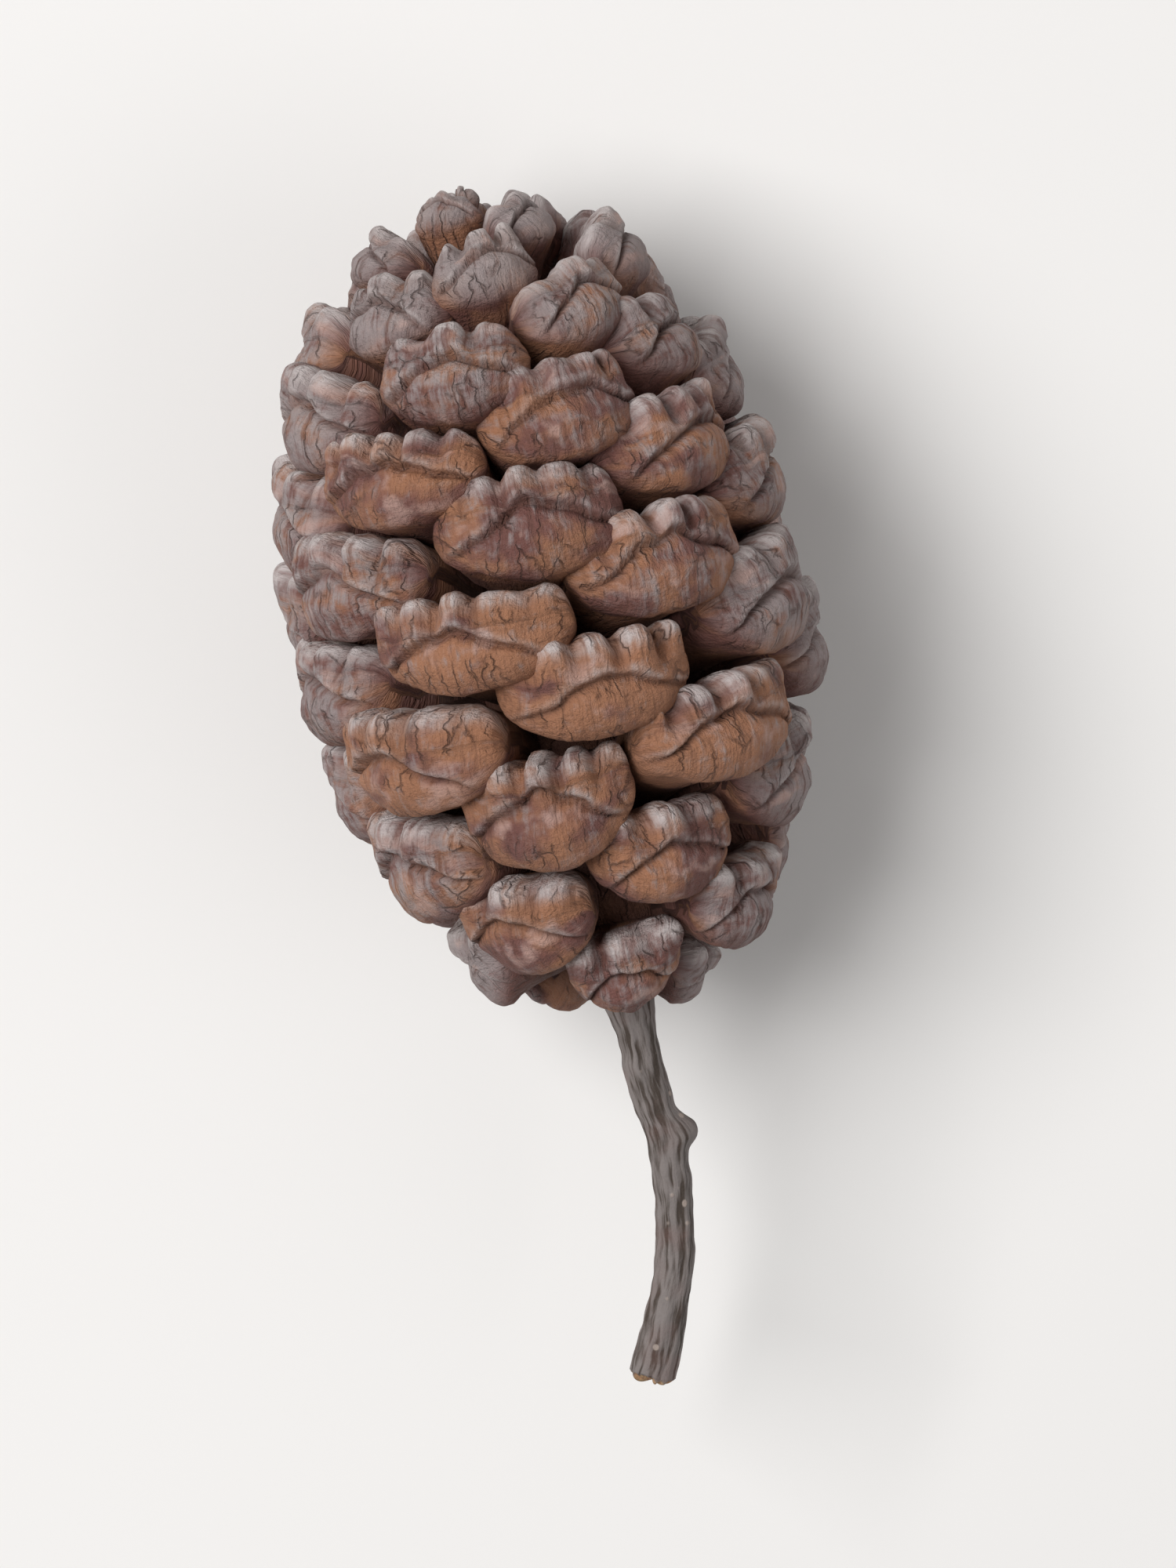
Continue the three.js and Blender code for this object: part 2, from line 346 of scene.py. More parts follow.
def make_piece(name, points, grid, attributes, material, node):
    """A smooth, laid down mesh piece that stands for a node of the frame and moves with it."""
    faces, texture = grid
    mesh = bpy.data.meshes.new(name)
    mesh.from_pydata(laid_down(points).tolist(), [], faces)
    mesh.uv_layers.new(name="OFBake").data.foreach_set("uv", texture.ravel())
    for label, values in attributes.items():
        kind, field = ("FLOAT_VECTOR", "vector") if values.shape[-1] == 3 else ("FLOAT", "value")
        mesh.attributes.new(label, kind, "POINT").data.foreach_set(field, values.ravel())
    work = bmesh.new()
    work.from_mesh(mesh)
    bmesh.ops.remove_doubles(work, verts=work.verts, dist=WELD_DISTANCE)
    bmesh.ops.recalc_face_normals(work, faces=work.faces)
    work.to_mesh(mesh)
    work.free()
    mesh.shade_smooth()
    mesh.materials.append(material)
    piece = bpy.data.objects.new(name, mesh)
    bpy.context.scene.collection.objects.link(piece)
    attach(piece, "root")
    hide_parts(node)


# Materials: every pattern's size is in millimetres, and so is the grain that the pieces carry


def add_node(tree, kind, inputs=None, **settings):
    """A shader node with its settings, each input set to a value or linked from a node or a socket."""
    made = tree.nodes.new(kind)
    for name, value in settings.items():
        setattr(made, name, value)
    for name, value in (inputs or {}).items():
        if isinstance(value, bpy.types.Node):
            value = next(socket for socket in value.outputs if socket.enabled)
        if isinstance(value, bpy.types.NodeSocket):
            tree.links.new(value, made.inputs[name])
        else:
            made.inputs[name].default_value = value
    return made


def new_material(name):
    """An empty node material."""
    material = bpy.data.materials.new(name)
    material.use_nodes = True
    material.node_tree.nodes.clear()
    return material, material.node_tree


def finish(make, colours):
    """The material that a function makes, which is made only once."""
    return bpy.data.materials.get(make.__name__) or make(colours)


def weathered_alder_wood(colours):
    """Dry alder wood: fine-grained and matt, reddish, orange-brown on warmer scales and greyed on the
    exposed ends, pale along the rims from bleaching and a painted highlight, with painted light on the
    cone's lit upper side and painted shade in the grooves, on the undersides and towards the roots of the
    scales."""
    fibre_width = 1 / 7
    fibre_length = 10 / 7
    patch = 10 / 7
    spot = 10 / 11
    fleck = 1 / 3
    pit = 1 / 11
    crack_spacing = 0.4
    crack_length = 5 / 3
    crack_wander = 0.35
    relief_depth = 0.09

    material, tree = new_material("weathered_alder_wood")
    grain = add_node(tree, "ShaderNodeAttribute", attribute_name="grain").outputs["Vector"]
    out, rim, groove_shade, tint_and_light, shelter_and_light = (
        add_node(tree, "ShaderNodeAttribute", attribute_name=name).outputs["Fac"]
        for name in ("out", "rim", "groove_shade", "tint_and_light", "shelter_and_light")
    )
    fibre_grid = (1 / fibre_width, 1 / fibre_length, 1.0)
    along_fibres = add_node(tree, "ShaderNodeVectorMath", {0: grain, 1: fibre_grid}, operation="MULTIPLY")
    fibres, patches, spots, flecks, pits = (
        add_node(
            tree,
            "ShaderNodeTexNoise",
            {"Vector": place, "Scale": scale, "Detail": detail, "Roughness": roughness},
        )
        for place, scale, detail, roughness in (
            (along_fibres, 1.0, 6.0, 0.65),
            (grain, 1 / patch, 3.0, 0.5),
            (grain, 1 / spot, 3.0, 0.5),
            (grain, 1 / fleck, 5.0, 0.5),
            (grain, 1 / pit, 3.0, 0.65),
        )
    )

    # Drying cracks wander along the fibres, and open only in some spots
    crack_grid = (1 / crack_spacing, 1 / crack_length, 1.0)
    wander = add_node(
        tree,
        "ShaderNodeVectorMath",
        {0: flecks.outputs["Color"], 1: (crack_wander, crack_wander, crack_wander), 2: grain},
        operation="MULTIPLY_ADD",
    )
    cells = add_node(tree, "ShaderNodeVectorMath", {0: wander, 1: crack_grid}, operation="MULTIPLY")
    edges = add_node(
        tree, "ShaderNodeTexVoronoi", {"Vector": cells, "Scale": 1.0}, feature="DISTANCE_TO_EDGE"
    )
    hairlines = add_node(tree, "ShaderNodeMapRange", {0: edges, 1: 0.0, 2: 0.055, 3: 1.0, 4: 0.0})

    # Scales differ in warmth and in how far they have greyed, at random and by painted light that makes the
    # upper side warmer and less grey, and both come in streaks and patches
    streaked = add_node(tree, "ShaderNodeMix", {0: 0.5, 2: flecks, 3: fibres}, data_type="FLOAT")
    warmer = add_node(tree, "ShaderNodeMath", {0: tint_and_light, 1: 0.1, 2: patches}, operation="MULTIPLY_ADD")
    greying_and_light = add_node(tree, "ShaderNodeMath", {0: shelter_and_light, 1: -0.09, 2: streaked}, operation="MULTIPLY_ADD")
    # Each range: what it reads, its low and high end, and what it gives at each
    opened, warmth, exposed, greyer, spotted, worn, lines, inside = (
        add_node(tree, "ShaderNodeMapRange", dict(enumerate(values)), interpolation_type="SMOOTHSTEP")
        for values in (
            (spots, 0.54, 0.4, 0.0, 1.0),
            (warmer, 0.42, 0.62, 0.0, 1.0),
            # Less grey on the upper side, which faces the light: painted light
            (out, 0.84, 1.0, 0.0, 0.85),
            (greying_and_light, 0.38, 0.62, 0.0, 1.0),
            (spots, 0.56, 0.7, 0.0, 0.75),
            (streaked, 0.34, 0.6, 0.15, 0.9),
            (fibres, 0.28, 0.5, 0.5, 0.0),
            # Painted shade towards the roots of the scales
            (out, 0.4, 0.88, 0.85, 0.0),
        )
    )
    cracks = add_node(tree, "ShaderNodeMath", {0: hairlines, 1: opened}, operation="MULTIPLY")
    grey, fresh, bleached_and_highlit, split, shaded = (
        add_node(tree, "ShaderNodeMath", {0: mask, 1: share}, operation="MULTIPLY")
        for mask, share in ((exposed, greyer), (exposed, spotted), (rim, worn), (cracks, 0.5), (groove_shade, 0.6))
    )

    # Reddish to orange-brown wood, then the grey, the pale spots and the rim with its painted highlight, and
    # what is dark: grain lines, cracks, and painted shade in the grooves, on the undersides and towards the
    # roots
    wood = (*colours.heart, 1)
    for mask, colour in (
        (warmth, colours.warm),
        (grey, colours.weathered),
        (fresh, colours.spot),
        (bleached_and_highlit, colours.rim),
        (lines, colours.deep),
        (split, colours.deep),
        (shaded, colours.deep),
        (inside, colours.deep),
    ):
        wood = add_node(tree, "ShaderNodeMix", {0: mask, 6: wood, 7: (*colour, 1)}, data_type="RGBA")

    rough = add_node(tree, "ShaderNodeMath", {0: fibres, 1: 1.4, 2: pits}, operation="MULTIPLY_ADD")
    relief = add_node(tree, "ShaderNodeMath", {0: cracks, 1: -0.8, 2: rough}, operation="MULTIPLY_ADD")
    bumped = add_node(
        tree, "ShaderNodeBump", {"Height": relief, "Strength": 1.0, "Distance": relief_depth * MM}
    )
    dull = add_node(tree, "ShaderNodeMapRange", {0: pits, 1: 0.3, 2: 0.7, 3: 0.6, 4: 0.85})
    surface = {"Base Color": wood, "Roughness": dull, "IOR": 1.45, "Normal": bumped}
    shader = add_node(tree, "ShaderNodeBsdfPrincipled", surface)
    add_node(tree, "ShaderNodeOutputMaterial", {"Surface": shader})
    return material


def dry_alder_bark(colours):
    """Dry bark of an alder stalk: thin, matt and grey-brown, with dark lengthwise wrinkles and pale pores,
    and torn pale wood where it was snapped."""
    wrinkle_width = 2 / 15
    wrinkle_length = 1.0
    pore_spacing = 10 / 17
    patch = 10 / 9
    grit_size = 1 / 16
    relief_depth = 0.06

    material, tree = new_material("dry_alder_bark")
    grain = add_node(tree, "ShaderNodeAttribute", attribute_name="grain").outputs["Vector"]
    torn = add_node(tree, "ShaderNodeAttribute", attribute_name="torn").outputs["Fac"]
    wrinkle_grid = (1 / wrinkle_width, 1 / wrinkle_width, 1 / wrinkle_length)
    lengthwise = add_node(tree, "ShaderNodeVectorMath", {0: grain, 1: wrinkle_grid}, operation="MULTIPLY")
    wrinkles, patches, grit = (
        add_node(tree, "ShaderNodeTexNoise", {"Vector": place, "Scale": scale, "Detail": detail})
        for place, scale, detail in (
            (lengthwise, 1.0, 4.0),
            (grain, 1 / patch, 3.0),
            (grain, 1 / grit_size, 2.0),
        )
    )
    pores = add_node(tree, "ShaderNodeTexVoronoi", {"Vector": grain, "Scale": 1 / pore_spacing})

    # Each range: what it reads, its low and high end, and what it gives at each
    ridges, ruddy, dotted = (
        add_node(tree, "ShaderNodeMapRange", dict(enumerate(values)), interpolation_type="SMOOTHSTEP")
        for values in (
            (wrinkles, 0.36, 0.58, 0.0, 1.0),
            (patches, 0.45, 0.7, 0.0, 0.22),
            (pores, 0.1, 0.17, 0.8, 0.0),
        )
    )
    torn_wood = add_node(
        tree, "ShaderNodeMix", {0: ridges, 6: (*colours.warm, 1), 7: (*colours.snapped, 1)}, data_type="RGBA"
    )
    # Bark between its dark wrinkles, reddish in patches and dotted with pores, and the wood of the torn end
    bark = (*colours.furrow, 1)
    for mask, colour in (
        (ridges, (*colours.bark, 1)),
        (ruddy, (*colours.heart, 1)),
        (dotted, (*colours.lenticel, 1)),
        (torn, torn_wood),
    ):
        bark = add_node(tree, "ShaderNodeMix", {0: mask, 6: bark, 7: colour}, data_type="RGBA")

    rough = add_node(tree, "ShaderNodeMath", {0: grit, 1: 0.3, 2: wrinkles}, operation="MULTIPLY_ADD")
    relief = add_node(tree, "ShaderNodeMath", {0: dotted, 1: 0.45, 2: rough}, operation="MULTIPLY_ADD")
    bumped = add_node(
        tree, "ShaderNodeBump", {"Height": relief, "Strength": 0.8, "Distance": relief_depth * MM}
    )
    dull = add_node(tree, "ShaderNodeMapRange", {0: grit, 1: 0.3, 2: 0.7, 3: 0.68, 4: 0.88})
    surface = {"Base Color": bark, "Roughness": dull, "IOR": 1.45, "Normal": bumped}
    shader = add_node(tree, "ShaderNodeBsdfPrincipled", surface)
    add_node(tree, "ShaderNodeOutputMaterial", {"Surface": shader})
    return material


def matt_background_paper(colours):
    """Matt white background paper: pale, even and without gloss."""
    material, tree = new_material("matt_background_paper")
    paper = {"Base Color": (*colours.floor, 1), "Roughness": 0.95, "Specular IOR Level": 0.2}
    shader = add_node(tree, "ShaderNodeBsdfPrincipled", paper)
    add_node(tree, "ShaderNodeOutputMaterial", {"Surface": shader})
    return material


# Pieces


class ALDER_OT_scales(bpy.types.Operator):
    """Grow the lobed, thick-lipped scales on their spiral"""

    bl_idname = "alder.scales"
    bl_label = "Scales"

    # Points across a scale, along each face and round the lip, and how they crowd at its edges and end
    COLUMNS = 61
    FACE_ROWS = 14
    CAP_ROWS = 51
    CROWDED_EDGES = 0.55
    CROWDED_END = 1.5
    # The lip's round end: steps worked out, and powers of (out, up), which are sharper on the upper side
    PROFILE_STEPS = 721
    LOWER_ROUNDING = (0.75, 0.8)
    UPPER_SHARPENING = (0.3, 0.25)
    MIDDLE_BAND = 0.4
    # Form of a scale: a thickness in millimetres, shares of its length or thickness, and powers
    ROOT_THICKNESS = 0.75
    CAP_DEPTH = 0.3
    EDGE_THINNING = 0.2
    LOWER_THINNING = 0.35
    THINNING_POWER = 1.8
    CLOSING_POWER = 9
    FAN_ROUNDING = 0.13
    CORNER_ROUNDING = 0.03
    # Lobes: how uneven their places and depths are, as (height, radians from the middle to an edge)
    LOBE_PHASES = 3
    LOBE_WARP = (0.04, 4.1)
    BROAD_WAVE = (0.4, 3.1)
    NARROW_WAVE = (0.35, 6.3)
    LOBE_SPREAD = 0.3
    # The arched crease above the bract, in shares of half the thickness and half the width
    ARCH_TOP = 0.28
    ARCH_SPREAD = 0.1
    ARCH_DROP = 0.75
    ARCH_HALF_WIDTH = 0.7
    ARCH_WANDER = 0.05
    CREASE_BELOW = 0.03
    CREASE_WIDTH = 0.09
    CREASE_ENDS = (0.65, 0.95)
    LEDGE_STEP = (-0.05, 0.08)
    PALE_EDGE = 0.13
    BRACT_ASIDE = 0.14
    BRACT_WIDTH = 0.45
    BRACT_LEVEL = -0.3
    BRACT_HEIGHT = 0.4
    RIM_RISE = (-0.1, 0.8)
    # Millimetres of relief on a full-sized scale
    LEDGE_DEPTH = 0.16
    BRACT_BULGE = 0.15
    CREASE_DEPTH = 0.2
    CREASE_SPREAD = 0.06
    RIM_WAVE = 0.08
    RIM_WIDTH = 0.3
    CUPPING = 0.22
    TWIST = 0.16
    # Millimetres: nearest to the cone's middle, and ruffles as (wavelength, height)
    LEAST_RADIUS = 0.05
    RUFFLES = ((1.8, 0.13), (0.6, 0.06), (0.22, 0.03))
    # Steps that give each scale a grain and ruffles of its own
    GRAIN_STEP = 3.7
    RUFFLE_STEP = 1.9

    def lip_profile(self):
        """Evenly spaced points round the end of a scale, from its upper face to its lower one: how far they
        stand out and how high they are, as shares of the cap and of half the thickness."""
        angle = np.radians(np.linspace(90, -90, self.PROFILE_STEPS))
        sine = np.sin(angle)
        above = smooth(-self.MIDDLE_BAND, self.MIDDLE_BAND, sine)
        out_power, up_power = (
            low - sharper * above for low, sharper in zip(self.LOWER_ROUNDING, self.UPPER_SHARPENING)
        )
        out = np.abs(np.cos(angle)) ** out_power
        up = np.sign(sine) * np.abs(sine) ** up_power
        gone = np.concatenate([[0], np.cumsum(np.hypot(2 * self.CAP_DEPTH * np.diff(out), np.diff(up)))])
        even = np.linspace(0, gone[-1], self.CAP_ROWS + 2)[1:-1]
        return np.interp(even, gone, out), np.interp(even, gone, up)

    def section(self):
        """Where the points of every scale lie: across it, along its body, out on the lip and up its side."""
        even = np.linspace(-1, 1, self.COLUMNS)
        crowded = np.sin(0.5 * np.pi * even)
        across = (1 - self.CROWDED_EDGES) * even + self.CROWDED_EDGES * crowded
        face = 1 - (1 - np.linspace(0, 1, self.FACE_ROWS)) ** self.CROWDED_END
        flat = np.zeros(self.FACE_ROWS)
        lip_out, lip_up = self.lip_profile()
        body = np.concatenate([face, np.ones(self.CAP_ROWS), face[::-1]])
        out = np.concatenate([flat, lip_out, flat])
        up = np.concatenate([flat + 1, lip_up, flat - 1])
        return across[:, None], body[None, :], out[None, :], up[None, :]

    def lobe_waves(self, lay, index, across, phases):
        """Narrow notches, and the broad lobes of uneven depth between them."""
        warp_height, warp_waves = self.LOBE_WARP
        warped = across + warp_height * np.sin(warp_waves * across + phases[0])
        uneven = 1
        for (height, waves), phase in zip((self.BROAD_WAVE, self.NARROW_WAVE), phases[1:]):
            uneven = uneven + height * np.sin(waves * across + phase)
        notch = 0.5 - 0.5 * np.cos(lay.lobes * np.pi * warped)
        return notch, (1 - 2 * notch**2) * uneven * (1 + self.LOBE_SPREAD * spread(index, FOR_LOBES))

    def one_scale(self, shape, index):
        """Points of one scale and what its material reads: each column runs along the upper face, round
        the lip and back along the lower face."""
        lay = ScaleLayout(shape, index)
        across, body, out, up = self.section()
        draws = (FOR_WARP, FOR_BROAD_WAVE, FOR_NARROW_WAVE)
        phases = [self.LOBE_PHASES * spread(index, purpose) for purpose in draws]
        notch, lobes = self.lobe_waves(lay, index, across, phases)

        # Thickness closes at both side edges, and the lower side tapers towards them
        lower = 1 - smooth(-0.5, 0.5, up)
        thin = 1 - (self.EDGE_THINNING + self.LOWER_THINNING * lower) * np.abs(across) ** self.THINNING_POWER
        closing = np.sqrt(np.clip(1 - np.abs(across) ** self.CLOSING_POWER, 0, 1))
        thickness = self.ROOT_THICKNESS + (lay.lip - self.ROOT_THICKNESS) * body
        cap = self.CAP_DEPTH * lay.lip * thin * closing
        reach = lay.length * (1 - self.FAN_ROUNDING * across**2 - self.CORNER_ROUNDING * across**8)
        along = body * (reach - cap) + cap * out
        off = 0.5 * thickness * thin * closing * up

        # The upper plate of the lip ends in the lobes, and the bract bulges under it below an arched crease
        rise = smooth(*self.RIM_RISE, up) * closing
        aside = across - self.BRACT_ASIDE * spread(index, FOR_BRACT)
        wander = np.sin(7 * across + phases[1]) + 0.6 * np.sin(13 * across + phases[2])
        arch = self.ARCH_TOP + self.ARCH_SPREAD * spread(index, FOR_ARCH)
        arch = arch - self.ARCH_DROP * (aside / self.ARCH_HALF_WIDTH) ** 2 + self.ARCH_WANDER * wander
        centre = 1 - smooth(*self.CREASE_ENDS, np.abs(aside))
        ledge = smooth(*self.LEDGE_STEP, up - arch) * out * closing
        crease = hump(up - arch + self.CREASE_BELOW, self.CREASE_WIDTH) * out * centre * closing
        bract = hump(aside, self.BRACT_WIDTH) * hump(up - self.BRACT_LEVEL, self.BRACT_HEIGHT)
        bract = bract * out * closing
        crease_depth = self.CREASE_DEPTH + self.CREASE_SPREAD * spread(index, FOR_CREASE)
        relief = self.LEDGE_DEPTH * ledge + self.BRACT_BULGE * bract - crease_depth * crease
        lobe_height = 0.5 * shape.lobe_depth / MM * lay.size
        along = along + body**5 * lobe_height * lobes * rise + lay.size * relief

        # The rim is wavy, and the whole scale is a little cupped and turned
        off = off + self.RIM_WAVE * lay.size * lobes * body**6 * rise
        bowed = self.CUPPING * across**2 + self.TWIST * spread(index, FOR_TWIST) * across
        off = off + body**2 * lay.size * bowed

        share = along / lay.length
        point, way = lay.midline(share)
        least_radius = self.LEAST_RADIUS * (1 + 0.5 * (1 + up) * closing)
        radius = np.maximum(least_radius, point[..., 0] - way[..., 1] * off)
        height = point[..., 1] + way[..., 0] * off
        turn = lay.turn + across * lay.half_fan
        points = np.stack([radius * np.cos(turn), radius * np.sin(turn), height], -1)

        # What the wood's material reads
        step = np.linalg.norm(np.diff(points[self.COLUMNS // 2], axis=0), axis=-1)
        arc = np.concatenate([[0], np.cumsum(step)])[None, :]
        everywhere = np.ones(radius.shape)
        notches = notch**3 * smooth(0.85, 0.98, share) * smooth(-0.2, 0.8, up)
        underside = smooth(0.3, 1, -up)
        edge = smooth(0.5, 0.9, up) * hump((1 - body) * lay.length, self.RIM_WIDTH)
        edge = edge + 0.5 * hump(up - arch - self.PALE_EDGE, self.CREASE_WIDTH) * out * centre
        attributes = {
            "out": np.clip(share, 0, 1),
            # The rim's pale edges are bleaching and a painted highlight
            "rim": np.clip(edge * (0.7 + 0.4 * lobes), 0, 1) * closing,
            # Painted shade: the notches between the lobes, the crease and the underside are darkened
            "groove_shade": np.clip(0.5 * notches + crease + 0.4 * underside, 0, 1),
            "tint_and_light": everywhere * lay.tint_and_light,
            "shelter_and_light": everywhere * lay.shelter_and_light,
            "grain": np.stack(
                [radius * across * lay.half_fan, everywhere * arc, everywhere * self.GRAIN_STEP * index], -1
            ),
        }
        return ruffled(points.reshape(-1, 3), self.RUFFLES, self.RUFFLE_STEP * index), attributes

    def execute(self, context):
        shape = context.scene.alder_shape
        wood = finish(weathered_alder_wood, context.scene.alder_colours)
        grid = closed_grid(self.COLUMNS, 2 * self.FACE_ROWS + self.CAP_ROWS)
        for index in range(shape.scale_count):
            name = f"scale_{index + 1:02d}"
            points, attributes = self.one_scale(shape, index)
            make_piece(name, points, grid, attributes, wood, "scales_on_axis")
        return {"FINISHED"}


class ALDER_OT_axis(bpy.types.Operator):
    """Turn the woody axis that the scales grow from"""

    bl_idname = "alder.axis"
    bl_label = "Axis"

    RINGS = 70
    SIDES = 48
    # Shares of the cone's length, and of the axis where its dome begins
    BOTTOM = 0.05
    RUN = 0.91
    DOME_FROM = 0.75
    # How steeply the bottom closes
    BOTTOM_CLOSING = 30
    RUFFLES = ((1.1, 0.2), (0.4, 0.07))
    RUFFLE_OFFSET = 5.0
    # How far out along a scale the material takes the axis to lie, which darkens it with painted shade
    AS_FAR_OUT = 0.5

    def execute(self, context):
        shape = context.scene.alder_shape
        length = shape.cone_length / MM
        points = []
        for ring in range(self.RINGS):
            share = ring / (self.RINGS - 1)
            z = length * (self.BOTTOM + self.RUN * share)
            dome = 1 - max(0, (share - self.DOME_FROM) / (1 - self.DOME_FROM)) ** 2
            closed = math.sqrt(min(1, self.BOTTOM_CLOSING * share) * dome)
            radius = shape.axis_share * outline_radius(shape, z) * closed
            for side in range(self.SIDES):
                turn = 2 * math.pi * side / self.SIDES
                points.append((radius * math.cos(turn), radius * math.sin(turn), z))
        points = np.array(points)
        nothing = np.zeros(len(points))
        attributes = {name: nothing for name in ("rim", "groove_shade", "tint_and_light", "shelter_and_light")}
        attributes.update(out=nothing + self.AS_FAR_OUT, grain=points)
        make_piece(
            "cone_axis",
            ruffled(points, self.RUFFLES, self.RUFFLE_OFFSET),
            closed_grid(self.RINGS, self.SIDES),
            attributes,
            finish(weathered_alder_wood, context.scene.alder_colours),
            "scales_on_axis",
        )
        return {"FINISHED"}


class ALDER_OT_stalk(bpy.types.Operator):
    """Grow the stalk, with a scar where it bends and a snapped end"""

    bl_idname = "alder.stalk"
    bl_label = "Stalk"

    RINGS = 170
    SIDES = 56
    END_RINGS = 14
    # Millimetres inside the cone's base, then bends as millimetres aside and shares of the length
    ROOTED = 1.2
    BENDS = ((0, 0, 0.15), (0.12, 0.05, 0.42), (-0.26, 0.1, 0.7), (-1.3, 0.2, 1))
    POINTS_BETWEEN_BENDS = 60
    # Swellings at both ends: share of the radius, and share of the stalk that each takes
    COLLAR = (0.45, 0.12)
    HEEL = (0.18, 0.1)
    # The scar on one side: its place, its reach above and below as shares of the stalk, and its millimetres
    SCAR_AT = 0.42
    SCAR_ABOVE = 0.04
    SCAR_BELOW = 0.028
    SCAR_HEIGHT = 0.36
    # Ribs: share of the radius, how many, how they twist, and their phase
    RIBS = ((0.035, 7, 2.2, 0), (0.025, 11, -4, 1))
    # Millimetres that the snapped end bulges and splinters
    END_BULGE = 0.12
    SPLINTERS = 0.16
    RUFFLES = ((1.2, 0.07), (0.35, 0.035))
    RUFFLE_OFFSET = 2.0
    # Millimetres from the middle at which the bark's grain is taken
    GRAIN_RADIUS = 0.5

    def line(self, length):
        """Points along the stalk from inside the cone's base to the snapped end, evenly spaced."""
        knots = np.array([(0, 0, self.ROOTED), *((x, y, -share * length) for x, y, share in self.BENDS)])
        ends = np.vstack([2 * knots[0] - knots[1], knots, 2 * knots[-1] - knots[-2]])
        t = np.linspace(0, 1, self.POINTS_BETWEEN_BENDS, endpoint=False)[:, None]
        fine = []
        for a, b, c, d in zip(ends, ends[1:], ends[2:], ends[3:]):
            square = (2 * a - 5 * b + 4 * c - d) * t**2
            cube = (3 * b - a - 3 * c + d) * t**3
            fine.append(0.5 * (2 * b + (c - a) * t + square + cube))
        fine = np.vstack([*fine, knots[-1:]])
        gone = np.concatenate([[0], np.cumsum(np.linalg.norm(np.diff(fine, axis=0), axis=1))])
        even = np.linspace(0, gone[-1], self.RINGS)
        return np.stack([np.interp(even, gone, fine[:, k]) for k in range(3)], -1), gone[-1]

    def ring_radius(self, shape, along, angle):
        """Radius round one ring, with its swelling, scar and ribs."""
        round_share = 1 + self.COLLAR[0] * hump(along, self.COLLAR[1])
        round_share += self.HEEL[0] * hump(along - 1, self.HEEL[1])
        for height, count, twist, phase in self.RIBS:
            round_share = round_share + height * np.sin(count * angle + twist * along + phase)
        from_scar = along - self.SCAR_AT
        scar = self.SCAR_HEIGHT * hump(from_scar, self.SCAR_BELOW if from_scar > 0 else self.SCAR_ABOVE)
        one_side = np.clip(np.cos(angle), 0, 1) ** 1.2
        return 0.5 * shape.stalk_diameter / MM * round_share + scar * one_side

    def execute(self, context):
        shape = context.scene.alder_shape
        centres, whole = self.line(shape.stalk_length / MM)
        forwards = np.gradient(centres, axis=0)
        forwards /= np.linalg.norm(forwards, axis=1, keepdims=True)
        angle = np.linspace(0, 2 * np.pi, self.SIDES, endpoint=False)
        points = []
        torn = []
        grain = []
        for ring in range(self.RINGS + self.END_RINGS):
            # Rings past the last one close the snapped end, and the first one is closed inside the cone
            inward = max(0, ring - self.RINGS + 1) / self.END_RINGS
            closed = min(1, ring) * (1 - inward)
            place = min(ring, self.RINGS - 1)
            along = place / (self.RINGS - 1)
            forward = forwards[place]
            sideways = np.cross((0, 1, 0), forward)
            sideways /= np.linalg.norm(sideways)
            beside = np.cross(forward, sideways)
            radius = self.ring_radius(shape, along, angle) * closed
            splinters = np.sin(9 * angle + 1.3) * np.sin(5 * angle) * math.sin(math.pi * inward**0.6)
            bulge = self.END_BULGE * math.sin(0.5 * math.pi * inward)
            points.append(
                centres[place]
                - np.outer(radius * np.cos(angle), sideways)
                - np.outer(radius * np.sin(angle), beside)
                + np.outer(bulge + self.SPLINTERS * splinters, forward)
            )
            torn.append(np.full(self.SIDES, float(smooth(0.02, 0.2, inward))))
            from_middle = self.GRAIN_RADIUS * (1 - inward)
            down = np.full(self.SIDES, whole * along)
            grain.append(np.stack([from_middle * np.cos(angle), from_middle * np.sin(angle), down], -1))
        make_piece(
            "cone_stalk",
            ruffled(np.vstack(points), self.RUFFLES, self.RUFFLE_OFFSET),
            closed_grid(self.RINGS + self.END_RINGS, self.SIDES),
            {"torn": np.concatenate(torn), "grain": np.vstack(grain)},
            finish(dry_alder_bark, context.scene.alder_colours),
            "stalk",
        )
        return {"FINISHED"}


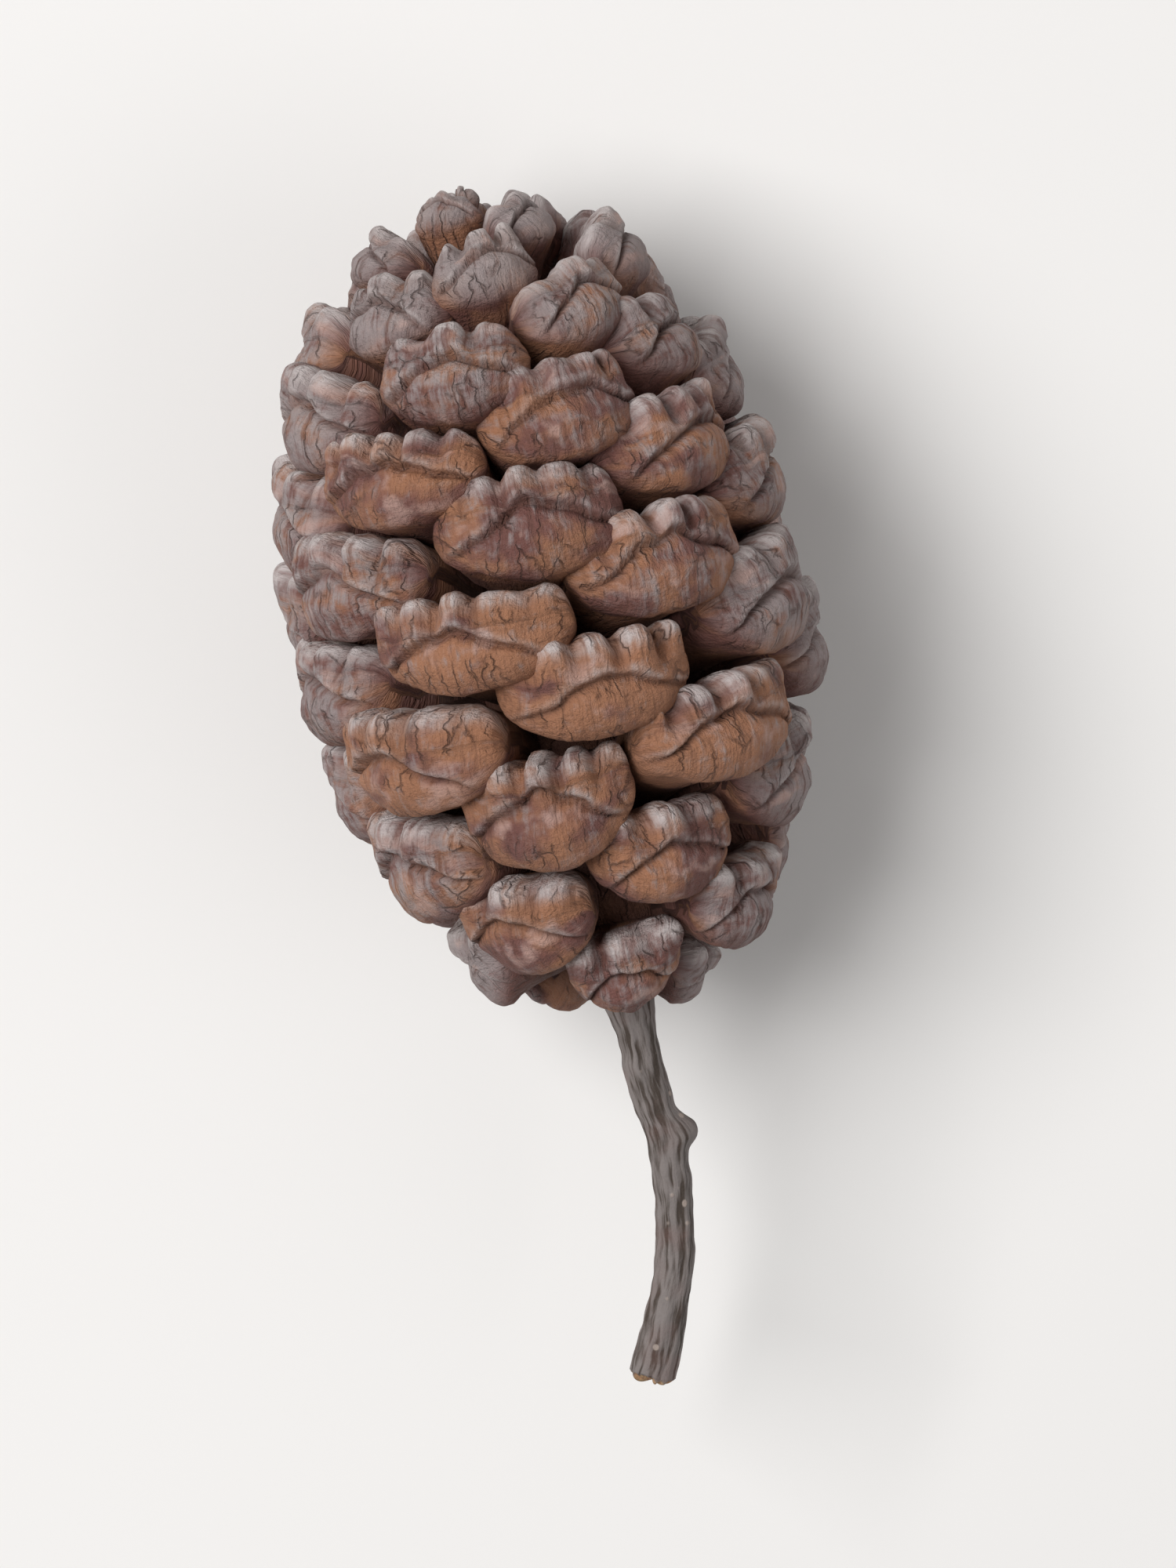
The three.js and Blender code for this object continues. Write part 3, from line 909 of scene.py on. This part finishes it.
class ALDER_OT_stage(bpy.types.Operator):
    """Lay the pale floor, and set up the soft light and the camera that looks down on the cone"""

    bl_idname = "alder.stage"
    bl_label = "Stage"

    # Metres: half the floor's side, and how far it lies below the cone so that no faces coincide
    FLOOR_HALF = 1.5
    FLOOR_DROP = 0.00002
    # Square soft lights: place and size in metres, and power in watts
    SOFTBOXES = {
        "key_softbox": ((-0.17, 0.13, 0.30), 0.22, 1.3),
        "fill_softbox": ((0.24, -0.12, 0.22), 0.30, 0.22),
    }
    WORLD_STRENGTH = 0.26
    # The camera's sensor in millimetres, and the nearest and furthest that it sees in metres
    SENSOR = 36
    NEAREST = 0.01
    FURTHEST = 10

    def lay_floor(self, scene):
        """A large, flat sheet of paper."""
        half = self.FLOOR_HALF
        mesh = bpy.data.meshes.new("floor")
        corners = [(-half, -half, 0), (half, -half, 0), (half, half, 0), (-half, half, 0)]
        mesh.from_pydata(corners, [], [(0, 1, 2, 3)])
        mesh.materials.append(finish(matt_background_paper, scene.alder_colours))
        floor = bpy.data.objects.new("floor", mesh)
        floor.location.z = -self.FLOOR_DROP
        scene.collection.objects.link(floor)
        floor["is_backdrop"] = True

    def light(self, scene, aim):
        """Soft lights aimed at the cone, in an even white studio."""
        for name, (place, size, power) in self.SOFTBOXES.items():
            light = bpy.data.lights.new(name, "AREA")
            light.size = size
            light.energy = power
            softbox = bpy.data.objects.new(name, light)
            softbox.location = place
            softbox.rotation_euler = (aim - Vector(place)).to_track_quat("-Z", "Y").to_euler()
            scene.collection.objects.link(softbox)
        world = bpy.data.worlds.new("studio")
        world.use_nodes = True
        background = world.node_tree.nodes["Background"]
        background.inputs["Color"].default_value = (1, 1, 1, 1)
        background.inputs["Strength"].default_value = self.WORLD_STRENGTH
        scene.world = world
        scene.view_settings.view_transform = "Standard"

    def execute(self, context):
        scene = context.scene
        stage = scene.alder_stage
        low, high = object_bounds()
        centre = 0.5 * (low + high)
        self.lay_floor(scene)
        self.light(scene, centre)

        camera = bpy.data.cameras.new("camera")
        camera.lens = stage.lens / MM
        camera.sensor_width = self.SENSOR
        camera.clip_start = self.NEAREST
        camera.clip_end = self.FURTHEST
        back = Vector((0, math.sin(stage.tilt), math.cos(stage.tilt)))
        up = Vector((math.sin(stage.lean), math.cos(stage.lean), 0))
        right = up.cross(back).normalized()
        up = back.cross(right)
        tall = (high.y - low.y) * math.cos(stage.lean) + (high.x - low.x) * math.sin(stage.lean)
        distance = tall / stage.fill * camera.lens / camera.sensor_width
        turned = Matrix((right, up, back)).transposed().to_4x4()
        viewer = bpy.data.objects.new("camera", camera)
        viewer.matrix_world = Matrix.Translation(centre + distance * back) @ turned
        scene.collection.objects.link(viewer)
        scene.camera = viewer
        return {"FINISHED"}


class ALDER_PT_cone(bpy.types.Panel):
    """Sizes, colours and pieces of the alder cone"""

    bl_idname = "ALDER_PT_cone"
    bl_label = "Alder Cone"
    bl_space_type = "VIEW_3D"
    bl_region_type = "UI"
    bl_category = "Alder Cone"

    def draw(self, context):
        for group in SETTINGS:
            settings = getattr(context.scene, group)
            box = self.layout.box()
            for name in settings.__annotations__:
                box.prop(settings, name)
        for operator in OPERATORS:
            self.layout.operator(operator.bl_idname)


OPERATORS = (ALDER_OT_scales, ALDER_OT_axis, ALDER_OT_stalk, ALDER_OT_stage)
SETTINGS = {
    "alder_shape": AlderConeShape,
    "alder_colours": AlderConeColours,
    "alder_stage": AlderConeStage,
}


def register():
    for settings in SETTINGS.values():
        bpy.utils.register_class(settings)
    for name, settings in SETTINGS.items():
        setattr(bpy.types.Scene, name, PointerProperty(type=settings))
    for made in (*OPERATORS, ALDER_PT_cone):
        bpy.utils.register_class(made)


def unregister():
    for made in (ALDER_PT_cone, *reversed(OPERATORS)):
        bpy.utils.unregister_class(made)
    for name in SETTINGS:
        delattr(bpy.types.Scene, name)
    for settings in reversed(SETTINGS.values()):
        bpy.utils.unregister_class(settings)


def main():
    register()
    bpy.ops.alder.scales()
    bpy.ops.alder.axis()
    bpy.ops.alder.stalk()
    bpy.ops.alder.stage()


if __name__ == "__main__":
    main()
